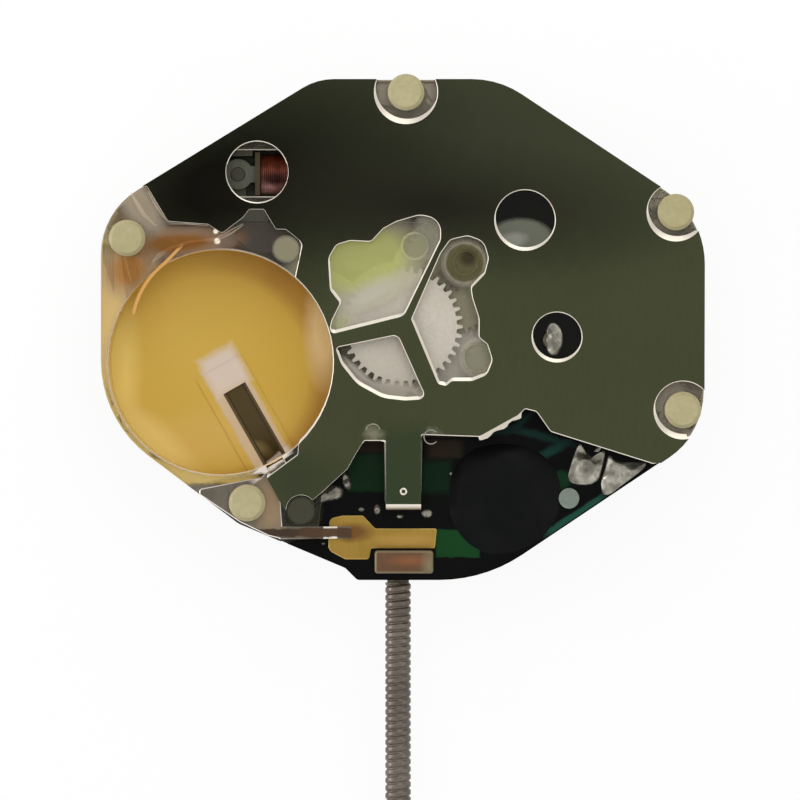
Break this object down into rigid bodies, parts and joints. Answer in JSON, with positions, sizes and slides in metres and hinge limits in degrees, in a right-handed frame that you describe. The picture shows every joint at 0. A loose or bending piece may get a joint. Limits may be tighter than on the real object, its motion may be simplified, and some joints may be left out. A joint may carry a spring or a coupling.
{
  "type": "quartz watch movement",
  "caption": "Analogue quartz watch movement with a battery well, a geared train for hour, minute and seconds hands, and a threaded winding stem that pulls out to set the hands.",
  "frame": {"origin": "on the axis of the hands, on the flat of the main plate that the dial sits on", "axes": "+Z to the battery side, +Y to twelve o'clock, the winding stem leaves along -Y"},
  "size_m": [0.0182, 0.0261, 0.0052],
  "materials": {
    "cream_plastic": "moulded cream plastic",
    "black_plastic": "moulded black plastic",
    "board_green": "solder mask on a circuit board",
    "black_resin": "poured black resin",
    "solder": "bright solder",
    "gold_plate": "gold plated copper alloy",
    "spring_steel": "rolled spring steel",
    "polished_steel": "polished steel",
    "stem_steel": "turned and rolled steel",
    "dark_steel": "dark plated brushed steel",
    "tin_can": "drawn tin plated can",
    "soft_iron": "annealed soft iron",
    "magnet": "sintered magnet",
    "amber_film": "amber insulating film",
    "clear_plastic": "clear moulded plastic",
    "white_plastic": "moulded white plastic",
    "brass": "turned brass",
    "copper_wire": "enamelled copper winding"
  },
  "bodies": {
    "root": {"main_plate": "cream_plastic", "circuit_spacer": "black_plastic", "circuit_board": "board_green", "ic_resin": "black_resin", "solder_pads": "solder", "test_pad": "solder", "contact_pad": "gold_plate", "reset_contact": "gold_plate", "negative_terminal": "spring_steel", "battery_insulator": "amber_film", "positive_spring": "gold_plate", "train_bridge": "clear_plastic", "cover_plate": "dark_steel", "centre_bridge": "spring_steel", "centre_tube": "brass", "lever_jumper": "spring_steel", "lever_pin": "polished_steel", "motion_guard": "spring_steel", "guard_screws": "polished_steel", "crystal_can": "tin_can", "crystal_leads": "solder", "locating_pin": "polished_steel", "coil_core": "soft_iron", "coil_winding": "copper_wire", "coil_flanges": "black_plastic", "stator": "soft_iron"},
    "seconds": {"seconds_wheel": "white_plastic", "seconds_arbor": "polished_steel"},
    "fifth": {"fifth_wheel": "white_plastic", "fifth_pinion": "polished_steel"},
    "rotor": {"rotor_magnet": "magnet", "rotor_pinion": "white_plastic"},
    "third": {"third_wheel": "white_plastic", "third_pinion": "polished_steel"},
    "centre": {"centre_wheel": "brass"},
    "cannon": {"cannon_pinion": "brass"},
    "minute": {"minute_wheel": "white_plastic"},
    "hour": {"hour_wheel": "brass"},
    "sliding": {"sliding_pinion": "polished_steel"},
    "stem": {"stem": "stem_steel"},
    "lever": {"setting_lever": "spring_steel"},
    "yoke": {"yoke": "spring_steel"},
    "setting": {"setting_wheel": "polished_steel"}
  },
  "joints": [
    {"name": "seconds_turn", "type": "hinge", "parent": "root", "child": "seconds", "pos_m": [0, 0, 0], "axis": [0, 0, 1], "continuous": true},
    {"name": "fifth_turn", "type": "hinge", "parent": "root", "child": "fifth", "pos_m": [0.00151, 0.00148, 0], "axis": [0, 0, 1], "continuous": true},
    {"name": "rotor_turn", "type": "hinge", "parent": "root", "child": "rotor", "pos_m": [0.00305, 0.00269, 0], "axis": [0, 0, 1], "continuous": true},
    {"name": "third_turn", "type": "hinge", "parent": "root", "child": "third", "pos_m": [0.00191, -0.0008, 0], "axis": [0, 0, 1], "continuous": true},
    {"name": "centre_turn", "type": "hinge", "parent": "root", "child": "centre", "pos_m": [0, 0, 0], "axis": [0, 0, 1], "continuous": true},
    {"name": "cannon_turn", "type": "hinge", "parent": "root", "child": "cannon", "pos_m": [0, 0, 0], "axis": [0, 0, 1], "continuous": true},
    {"name": "minute_turn", "type": "hinge", "parent": "root", "child": "minute", "pos_m": [0.0015, -0.00161, 0], "axis": [0, 0, 1], "continuous": true},
    {"name": "hour_turn", "type": "hinge", "parent": "root", "child": "hour", "pos_m": [0, 0, 0], "axis": [0, 0, 1], "continuous": true},
    {"name": "stem_turn", "type": "hinge", "parent": "root", "child": "sliding", "pos_m": [-0.00012, -0.0045, 0.00105], "axis": [0, -1, 0], "continuous": true},
    {"name": "stem_pull", "type": "slide", "parent": "sliding", "child": "stem", "axis": [0, -1, 0], "range_m": [0, 0.0009]},
    {"name": "lever_swing", "type": "hinge", "parent": "root", "child": "lever", "pos_m": [0.0025, -0.0059, 0], "axis": [0, 0, 1], "range_deg": [0, 19.5]},
    {"name": "yoke_swing", "type": "hinge", "parent": "root", "child": "yoke", "pos_m": [-0.00019, -0.00255, 0], "axis": [0, 0, 1], "range_deg": [0, 26.5]},
    {"name": "setting_turn", "type": "hinge", "parent": "yoke", "child": "setting", "pos_m": [-0.00038, -0.00337, 0], "axis": [0, 0, 1], "continuous": true}
  ],
  "couplings": [
    {"joint": "fifth_turn", "follows": "seconds_turn", "ratio": -5},
    {"joint": "rotor_turn", "follows": "seconds_turn", "ratio": 30},
    {"joint": "third_turn", "follows": "seconds_turn", "ratio": -0.13333},
    {"joint": "centre_turn", "follows": "seconds_turn", "ratio": 0.016667},
    {"joint": "cannon_turn", "follows": "seconds_turn", "ratio": 0.016667},
    {"joint": "minute_turn", "follows": "seconds_turn", "ratio": -0.0055556},
    {"joint": "hour_turn", "follows": "seconds_turn", "ratio": 0.0013889},
    {"joint": "lever_swing", "follows": "stem_pull", "rad_per_m": 377.99},
    {"joint": "yoke_swing", "follows": "stem_pull", "rad_per_m": 512.4},
    {"joint": "setting_turn", "follows": "stem_turn", "ratio": 1}
  ]
}
